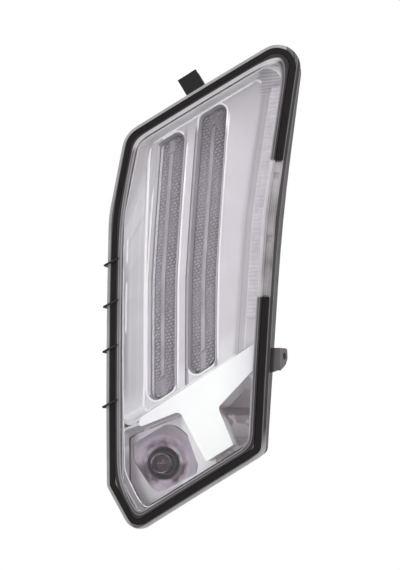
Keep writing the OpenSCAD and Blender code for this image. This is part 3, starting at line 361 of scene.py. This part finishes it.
def silver_bezel():
    """Metallised moulding. Each wall, the floor, the beads and the rim have their own tone, and some places carry
    painted highlights and painted shade.
    """
    m = Mat("bezel_silver", tone(207, 202, 208), 0.4, 0.15, Specular_IOR_Level=0.35)
    x, z, depth = m.xyz(X), m.xyz(Z), m.depth()
    left, top, right = m.left_in(), m.edge(TOP), m.right_in()
    above_trim = m.past(TRIM_AT, (-math.sin(TRIM_SLOPE), math.cos(TRIM_SLOPE)))
    m.coat = m.mix(m.rise(z, 100, 60), tone(208, 203, 209), tone(186, 181, 187))
    # Left wall: two faint mould lines, painted shade along its outer edge low down beside the rim, and a painted
    # highlight as a bright broken line beside the rim
    wall = m.mix(m.rise(z, 72, 40), tone(206, 203, 208), tone(206, 201, 204))
    for at, width in ((13.2, 0.7), (17.3, 0.9)):
        line = m.both(m.within(left, at - width / 2, at + width / 2, 0.4), 0.3)
        wall = m.mix(line, wall, tone(226, 224, 229))
    wall = m.mix(m.both(m.until(left, 11.6, 2.4), m.within(z, -62, 10, 30)), wall, tone(172, 167, 173))
    for from_z, to_z in ((-28, 2), (14, 28)):
        wall = m.mix(m.both(m.within(left, 10.4, 11.3, 0.4), m.within(z, from_z, to_z, 4)), wall, tone(246, 244, 247))
    m.lay(m.until(left, 21.0, 0.5), wall)
    # Top wall and the lines that follow it
    m.lay(m.until(top, 11.2, 0.4), m.mix(m.ripple(top, 4.6, 0.25, 0.75), tone(208, 205, 209), tone(240, 237, 242)))
    # Floor below the windows
    m.lay(m.both(m.until(above_trim, 13, 9), m.rise(above_trim, 0.4, 1.0)), tone(220, 219, 223))
    # Right wall: a darker step beside the floor with fine mould lines, then the lighter strip's bed
    fine = m.spread(m.ripple(right, 3.9, 0.0, 1.0), 0.55, 1.0)
    m.lay(m.both(m.within(right, 17.2, 24.0, 2.6), fine), tone(186, 181, 187))
    m.lay(m.within(right, 16.4, 17.2, 0.3), tone(224, 220, 226))
    m.lay(m.both(m.within(right, 20.6, 21.5, 0.5), 0.6), tone(166, 160, 167))
    m.lay(m.within(right, 8.0, 16.4, 0.4), tone(206, 201, 207))
    # Corner of the top and right walls, with fine flutes across it
    flutes = m.mix(m.ripple(z, 3.4, 0.0, 1.0), tone(146, 141, 148), tone(190, 186, 192))
    m.lay(m.both(m.rise(z, 117, 4), m.until(right, 25, 3), 0.75), flutes)
    # Beads round the windows: a painted highlight along them, but grey beside the light lenses
    floor_part = m.both(m.rise(left, 21.4, 0.2), m.rise(right, 24, 0.5), m.rise(top, 11.4, 0.2))
    m.lay(m.both(m.within(depth, 16.0, 17.55, 0.2), floor_part), tone(246, 244, 247))
    upright = m.calc("SUBTRACT", x, m.leaned())
    beside = m.both(m.rise(z, -60, 3), m.until(z, 96, 8))
    for from_x, to_x in ((-11.1, -9.4), (13.7, 15.4), (-4.0, -2.3)):
        grey = m.both(m.within(upright, from_x, to_x, 0.2), beside, m.until(depth, 18.3, 0.2), floor_part)
        m.lay(grey, tone(174, 168, 176))
    # Painted shade: a thin dark line in the crease at the right window's left side
    m.lay(m.both(m.within(upright, -4.5, -3.5, 0.3), beside, m.rise(depth, 17.2, 0.2)), tone(120, 114, 121))
    # Window walls, with painted light on the left window's left wall beside the lens's plain ledge
    m.lay(m.rise(depth, 18.25, 0.3), tone(182, 177, 184))
    m.lay(m.both(m.within(upright, -30, -26.6, 0.3), m.rise(depth, 18.1, 0.2)), tone(244, 241, 246))
    # Lower chamber, whose left side is white above and grey at its foot
    side = m.mix(m.rise(z, -100, 14), tone(182, 174, 182), tone(254, 253, 254))
    m.lay(m.until(above_trim, -9.5, 1.5), m.mix(m.rise(left, 24, 6), side, tone(222, 218, 224)))
    # Rim round the face
    m.lay(m.both(m.until(depth, 8.5, 0.4), m.until(m.inset(), 10.9, 0.3)), tone(238, 236, 239))
    m.colour(m.mottle(m.coat, 70, 0.035))
    m.gloss(140, 0.34, 0.46)
    m.bump(m.noise(900, 2), 0.25, 0.00001)
    return m


def ribbed_strip():
    m = Mat("strip_silver", tone(200, 195, 201), 0.34, 0.3)
    m.colour(m.mottle(tone(220, 215, 221), 160, 0.08))
    m.bump(m.noise(800, 2), 0.3, 0.00001)
    return m


def white_band():
    """White in its middle and slightly greyer towards both ends."""
    m = Mat("trim_white", tone(250, 250, 250), 0.3, 0.0)
    ends = m.calc("MAXIMUM", m.until(m.xyz(X), -14, 34), m.rise(m.xyz(X), 26, 20))
    m.colour(m.mottle(m.mix(ends, tone(251, 252, 251), tone(240, 240, 244)), 55, 0.02))
    m.gloss(120, 0.25, 0.38)
    m.bump(m.noise(700, 2), 0.3, 0.00001)
    return m


def bowl_finish():
    """Grey metallised bowl: light flange, painted shade as a dark line round the bowl and as ragged darker rings
    round the bulb.
    """
    m = Mat("bowl_grey", tone(210, 202, 211), 0.35, 0.2)
    flat = m.vector("MULTIPLY", m.lamp_mm(), (1, 0, 1)).outputs["Vector"]
    radius = m.vector("DISTANCE", flat, (BULB[0], 0, BULB[1])).outputs["Value"]
    # Painted shade: the bowl darkens in ragged rings towards the bulb hole
    ragged = m.calc("ADD", radius, m.patches(95, 3, -3.2, 3.2, 0.3, 0.7))
    m.coat = m.mix(m.until(ragged, 13.6, 5), tone(236, 229, 238), tone(188, 173, 186))
    m.lay(m.until(ragged, 11.4, 2.6), tone(118, 102, 113))
    depth = m.depth()
    # Painted shade: a dark line along the bowl's opening
    m.lay(m.both(m.until(depth, 23.2, 1.4), m.rise(m.xyz(Z), -117, 6)), tone(104, 92, 102))
    flange = m.mix(m.rise(m.near(m.edge(CHIN), m.edge(LEFT), 9), 15.5, 5), tone(172, 160, 170), tone(218, 214, 219))
    flange = m.mix(m.rise(m.xyz(X), -8, 4), flange, tone(250, 248, 251))
    m.coat = m.mix(m.rise(depth, 20.9, 0.3), flange, m.coat)
    m.colour(m.mottle(m.coat, 60, 0.06))
    m.gloss(110, 0.24, 0.38)
    m.bump(m.noise(420, 2), 0.3, 0.00003)
    return m


def corner_finish():
    """The faceted corner: brown-grey above, violet-grey in the middle, then a painted reflection as a bright patch
    over a grey foot.
    """
    m = Mat("corner_grey", tone(142, 136, 138), 0.35, 0.1)
    z = m.xyz(Z)
    wavy_z = m.calc("ADD", z, m.patches(130, 3, -5, 5, 0.3, 0.7))
    m.coat = m.mix(m.until(wavy_z, -66, 7), tone(222, 216, 214), tone(212, 200, 208))
    # Painted reflection: a bright patch
    m.lay(m.until(wavy_z, -80.5, 2), tone(252, 249, 252))
    m.lay(m.until(z, -90.5, 1), tone(214, 208, 214))
    # Where the painted reflection lies, the surface is not metallic
    patch = m.both(m.until(wavy_z, -80.5, 2), m.rise(z, -90.5, 1))
    m.link(m.spread(patch, 0.2, 0.0), m.bsdf.inputs["Metallic"])
    m.colour(m.mottle(m.coat, 80, 0.08))
    m.gloss(110, 0.24, 0.38)
    m.bump(m.noise(380, 2), 0.35, 0.00004)
    return m


SCALE_W, SCALE_H, SCALE_R, SCALE_SLANT = 2.35, 1.95, 0.36, 0.3
RIB_AT, RIB_HALF_W = 8.2, 1.5


def pebbled(name, window_x, dark_from, dark_over, ledge_w):
    """Fish-scale light lens: staggered rows of small scales beside a plain rib, darker towards the top."""
    m = Mat(name, tone(160, 154, 161), 0.3, 0.0, IOR=1.49)
    x, z = m.xyz(X), m.xyz(Z)
    across = m.calc("SUBTRACT", m.calc("SUBTRACT", x, m.leaned()), window_x)
    # Each scale's own place, from -0.5 to 0.5 across and up
    u = m.calc("DIVIDE", across, SCALE_W)
    v = m.calc("DIVIDE", m.calc("SUBTRACT", z, m.calc("MULTIPLY", across, SCALE_SLANT)), SCALE_H)
    odd = m.calc("MULTIPLY", m.calc("MODULO", m.calc("ABSOLUTE", m.calc("FLOOR", v)), 2.0), 0.5)
    jitter = m.patches(160, 2, -0.35, 0.35, 0.3, 0.7)
    own_u = m.calc("SUBTRACT", m.calc("FRACT", m.calc("ADD", m.calc("ADD", u, odd), jitter)), 0.5)
    own_v = m.calc("SUBTRACT", m.calc("FRACT", m.calc("ADD", v, m.calc("MULTIPLY", jitter, 0.6))), 0.5)
    radius = m.calc("SQRT", m.calc("ADD", m.calc("MULTIPLY", own_u, own_u), m.calc("MULTIPLY", own_v, own_v)))
    dome = m.until(radius, SCALE_R, 0.5)
    # Each scale carries a painted highlight, lightest towards its top
    lit = m.both(dome, m.spread(own_v, 0.35, 1.0, -0.4, 0.3))
    # The scales fade on the rib and in patches
    rib = m.until(m.calc("ABSOLUTE", m.calc("SUBTRACT", across, RIB_AT)), RIB_HALF_W, 1.0)
    strength = m.both(m.unless(m.both(rib, 0.8)), m.patches(26, 2, 0.35, 1.0, 0.38, 0.58))
    dark = m.rise(z, dark_from, dark_over)
    low = m.mix(dark, tone(124, 117, 126), tone(88, 81, 89))
    high = m.mix(dark, tone(206, 201, 209), tone(172, 165, 174))
    plain = m.mix(dark, tone(164, 158, 166), tone(128, 121, 128))
    m.coat = m.mix(strength, plain, m.mix(lit, low, high))
    broken = m.patches(55, 2, 0.1, 0.8, 0.4, 0.6)
    m.lay(m.both(rib, broken, m.unless(dark)), tone(188, 183, 191))
    # Painted shade along both sides of the window, beside its walls
    from_side = m.calc("MINIMUM", across, m.calc("SUBTRACT", WINDOW_W, across))
    m.lay(m.both(m.until(from_side, 1.2, 1.6), 0.2), tone(104, 98, 106))
    # A plain ledge along the left side, and the fine line where the scales begin
    if ledge_w:
        m.lay(m.until(across, ledge_w, 0.4), tone(230, 227, 232))
        m.lay(m.within(across, ledge_w, ledge_w + 0.7, 0.3), tone(130, 124, 131))
    m.coat = m.mix(1.0, m.coat, (0.88, 0.88, 0.88), "MULTIPLY")
    m.colour(m.mottle(m.coat, 120, 0.05))
    m.bump(m.both(dome, strength), 0.5, 0.0004)
    return m


def clear_glass():
    m = Mat("bulb_clear", (0.8, 0.62, 0.75), 0.03, Transmission_Weight=1.0, IOR=1.3)
    m.bump(m.noise(120, 2), 0.03, 0.0002)
    m.lit_through()
    return m


# The beads are painted near white, brighter than the silver bezel they are mouldings of, as highlights along them
bright = grained("bead_bright", tone(253, 252, 253), 0.3, 0.1, grain=800, depth=0.00001, vary=0.02)
foot_grey = grained("foot_grey", tone(196, 190, 194), 0.4, 0.2, grain=800, depth=0.00001, vary=0.08)

for names, m in (
    ("outer_lens", clear_front()),
    ("rim_gasket", gasket_rubber()),
    ("rim_clips", grained("clip_wire", tone(34, 30, 33), 0.4, grain=1500, Specular_IOR_Level=0.3)),
    ("lens_seal", grained("seal", tone(50, 48, 50), 0.7, Specular_IOR_Level=0.2)),
    ("housing bulb_holder vent_cap", housing_plastic()),
    ("bezel", silver_bezel()),
    ("side_strip", ribbed_strip()),
    ("lower_trim", white_band()),
    ("bulb_reflector", bowl_finish()),
    ("corner_reflector", corner_finish()),
    ("left_light_lens", pebbled("pebbled_left", -27.3, 90, 60, 2.8)),
    ("right_light_lens", pebbled("pebbled_right", -2.5, 84, 50, 0)),
    ("light_carrier", grained("carrier_white", tone(225, 225, 222), 0.5)),
    ("led_board driver_board", grained("board_green", (0.03, 0.16, 0.07), 0.35, grain=600)),
    ("leds", grained("led_yellow", (0.85, 0.72, 0.25), 0.3)),
    ("heat_sink", grained("sink_aluminium", (0.6, 0.61, 0.63), 0.35, 1.0, grain=1400, depth=0.00004)),
    ("board_screws carrier_screws driver_screws", grained("screw_steel", (0.62, 0.62, 0.64), 0.28, 1.0)),
    ("board_header", grained("header_cream", (0.7, 0.66, 0.55), 0.45)),
    ("driver_parts", grained("parts_black", (0.03, 0.03, 0.033), 0.4)),
    ("connector_pins", grained("pin_brass", (0.75, 0.62, 0.36), 0.25, 1.0)),
    ("bulb_glass", clear_glass()),
    ("bulb_filament", grained("filament_wire", (0.35, 0.34, 0.33), 0.4, 1.0)),
    ("bulb_base", grained("base_grey", tone(100, 84, 94), 0.55)),
    ("holder_seal", grained("seal_red", (0.22, 0.03, 0.02), 0.55)),
):
    for name in names.split():
        nodes[name].data.materials.clear()
        nodes[name].data.materials.append(m.mat)


# ---------- thin mouldings on the bezel ----------
def on_crown(x, z, depth):
    r = CROWN_R - depth
    return Vector((x, CROWN_AT[1] - math.sqrt(r * r - (x - CROWN_AT[0]) ** 2 - (z - CROWN_AT[2]) ** 2), z))


def add_piece(name, verts, faces, material):
    """A new piece from points of the lamp's drawing, attached to the root body."""
    mesh = bpy.data.meshes.new(name)
    mesh.from_pydata([to_frame(v) for v in verts], [], faces)
    mesh.validate()
    mesh.materials.append(material.mat)
    piece = bpy.data.objects.new(name, mesh)
    bpy.context.scene.collection.objects.link(piece)
    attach(piece, "root")
    return mesh


def smooth_path(corners, step=2.0, bend=2.0):
    """Points along a path with its corners rounded."""
    points = [Vector(c) for c in corners]
    path = [points[0]]
    for a, b, c in zip(points, points[1:], points[2:]):
        reach = min(bend, (b - a).length / 2, (c - b).length / 2)
        p, q = b + (a - b).normalized() * reach, b + (c - b).normalized() * reach
        for k in range(5):
            t = k / 4
            path.append(p * (1 - t) ** 2 + b * 2 * t * (1 - t) + q * t * t)
    path.append(points[-1])
    dense = [path[0]]
    for a, b in zip(path, path[1:]):
        count = max(1, int((b - a).length / step))
        dense += [a + (b - a) * (k + 1) / count for k in range(count)]
    return dense


def bead(name, depth, width, height, corners, bend=2.0, sunk=0.15, arc=8):
    """A half-round bead along a path on the crown, with tapered ends and its foot sunk into the bezel."""
    path = [on_crown(p[0], p[1], depth) for p in smooth_path(corners, bend=bend)]
    count, row = len(path), arc + 1
    verts, faces = [], []
    for i, p in enumerate(path):
        along = (path[min(i + 1, count - 1)] - path[max(i - 1, 0)]).normalized()
        out = (p - CROWN_AT).normalized()
        side = along.cross(out)
        end = min(1.0, 0.35 + 0.35 * min(i, count - 1 - i))
        for k in range(row):
            a = math.pi * k / arc
            verts.append(p + side * (math.cos(a) * width / 2 * end) + out * (math.sin(a) * height * end - sunk))
    for i in range(count - 1):
        for k in range(arc):
            a = i * row + k
            faces.append((a, a + 1, a + row + 1, a + row))
        faces.append((i * row + arc, i * row, (i + 1) * row, (i + 1) * row + arc))
    faces.append(tuple(range(row - 1, -1, -1)))
    faces.append(tuple((count - 1) * row + k for k in range(row)))
    for poly in add_piece(name, verts, faces, bright).polygons:
        poly.use_smooth = len(poly.vertices) == 4


bead("left_wall_bead", 17.7, 2.0, 0.8,
     [(-26.9, 89.6), (-27.7, 78), (-29.0, 28), (-29.4, -2), (-29.9, -56), (-31.4, -76.2)])
bead("top_bead", 17.8, 1.3, 0.7, [(-25.4, 87.7), (37.6, 125.4)])
bead("foot_bead", 17.7, 0.9, 0.6, [(-30.2, -75.9), (-6.5, -61.6), (29.5, -39.4)])
bead("left_window_bead", 17.9, 1.3, 0.7, [(-9.6, -62), (-9.0, -26), (-8.9, 2), (-7.6, 28), (-3.9, 88)], 8)
bead("right_window_bead", 17.9, 1.3, 0.7,
     [(15.2, -46), (15.3, -26), (15.8, 2), (16.7, 28), (20.3, 88), (21.6, 106)], 8)
bead("rim_bead", 7.8, 0.9, 0.5,
     [(-41.6, -62), (-41.4, -111.4), (-33.2, -128.6), (-28.6, -133.9),
      (13.7, -110.7), (33.4, -98.2), (35.4, -94), (38, -54.7)], 4)


def ribbed_web(name, corners, front, back, ridges, ridge_h=0.25, across=4):
    """A thin web between two flanges, with low ridges across it. Its corners go round in order."""
    a, b, c, d = (Vector(corner) for corner in corners)
    along = ridges * 6
    verts, faces = [], []
    for depth, height in ((front, ridge_h), (back, 0.0)):
        for i in range(along + 1):
            t = i / along
            lift = height * (0.5 - 0.5 * math.cos(2 * math.pi * ridges * t))
            for k in range(across + 1):
                p = a.lerp(b, t).lerp(d.lerp(c, t), k / across)
                verts.append(on_crown(p.x, p.y, depth - lift))
    row, layer = across + 1, (across + 1) * (along + 1)
    for i in range(along):
        for k in range(across):
            n = i * row + k
            faces.append((n, n + row, n + row + 1, n + 1))
            faces.append((layer + n, layer + n + 1, layer + n + row + 1, layer + n + row))
    rim = [k for k in range(across)] + [i * row + across for i in range(along)]
    rim += [along * row + across - k for k in range(across)] + [(along - i) * row for i in range(along)]
    for n, m in zip(rim, rim[1:] + rim[:1]):
        faces.append((n, m, layer + m, layer + n))
    add_piece(name, verts, faces, foot_grey)


ribbed_web("foot_web", [(8.6, -102.0), (20.8, -93.8), (28.0, -98.0), (12.4, -109.6)], 21.0, 22.2, 7)


# ---------- stage ----------
def world_background(as_light=0.78, as_seen=1.0):
    """White to the camera and in reflections, softer as light."""
    world = bpy.data.worlds.new("studio")
    bpy.context.scene.world = world
    world.use_nodes = True
    tree = world.node_tree
    tree.nodes.clear()
    path = tree.nodes.new("ShaderNodeLightPath")
    seen = path.outputs["Is Camera Ray"]
    for ray in ("Is Glossy Ray", "Is Transmission Ray"):
        node = tree.nodes.new("ShaderNodeMath")
        node.operation = "MAXIMUM"
        tree.links.new(seen, node.inputs[0])
        tree.links.new(path.outputs[ray], node.inputs[1])
        seen = node.outputs[0]
    mix = tree.nodes.new("ShaderNodeMixShader")
    tree.links.new(seen, mix.inputs[0])
    for i, strength in ((1, as_light), (2, as_seen)):
        node = tree.nodes.new("ShaderNodeBackground")
        node.inputs["Color"].default_value = (1, 1, 1, 1)
        node.inputs["Strength"].default_value = strength
        tree.links.new(node.outputs[0], mix.inputs[i])
    tree.links.new(mix.outputs[0], tree.nodes.new("ShaderNodeOutputWorld").inputs["Surface"])


def area_lamp(name, offset, size, watts):
    """A square or oblong lamp that looks at the middle of the lit object."""
    data = bpy.data.lights.new(name, "AREA")
    data.shape = "RECTANGLE"
    data.size, data.size_y = size
    data.energy = watts
    lamp = bpy.data.objects.new(name, data)
    bpy.context.scene.collection.objects.link(lamp)
    lamp.location = middle + Vector(offset)
    lamp.rotation_euler = (lamp.location - middle).to_track_quat("Z", "Y").to_euler()


def lay_floor(half_w=12.0, drop=0.28, grey=(0.93, 0.93, 0.93), glow=1.05, glow_share=0.85):
    """A pale floor, white to the camera but for the lamp's soft shadow."""
    z = cad_box[0][2] - drop
    corners = [(-half_w, -half_w, z), (half_w, -half_w, z), (half_w, half_w, z), (-half_w, half_w, z)]
    mesh = bpy.data.meshes.new("floor")
    mesh.from_pydata(corners, [], [(0, 1, 2, 3)])
    floor = bpy.data.objects.new("floor", mesh)
    bpy.context.scene.collection.objects.link(floor)
    m = Mat("floor", grey, 0.8)
    m.colour(m.mottle(grey, 3, 0.005))
    light = m.add("ShaderNodeEmission")
    light.inputs["Strength"].default_value = glow
    mixed = m.add("ShaderNodeMixShader")
    m.link(m.calc("MULTIPLY", m.add("ShaderNodeLightPath").outputs["Is Camera Ray"], glow_share), mixed.inputs[0])
    m.link(m.bsdf.outputs[0], mixed.inputs[1])
    m.link(light.outputs[0], mixed.inputs[2])
    m.link(mixed.outputs[0], m.out.inputs["Surface"])
    mesh.materials.append(m.mat)


# The two front lamps stand where the crowned face doesn't mirror them to the camera
world_background()
area_lamp("key", (1.15, -1.55, 0.8), (0.9, 0.9), 9.5)
area_lamp("fill", (-1.35, -1.45, -0.3), (0.8, 1.0), 8)
area_lamp("top", (0.0, -0.7, 1.4), (1.2, 1.0), 2)
lay_floor()

bpy.context.scene.view_settings.view_transform = "Standard"
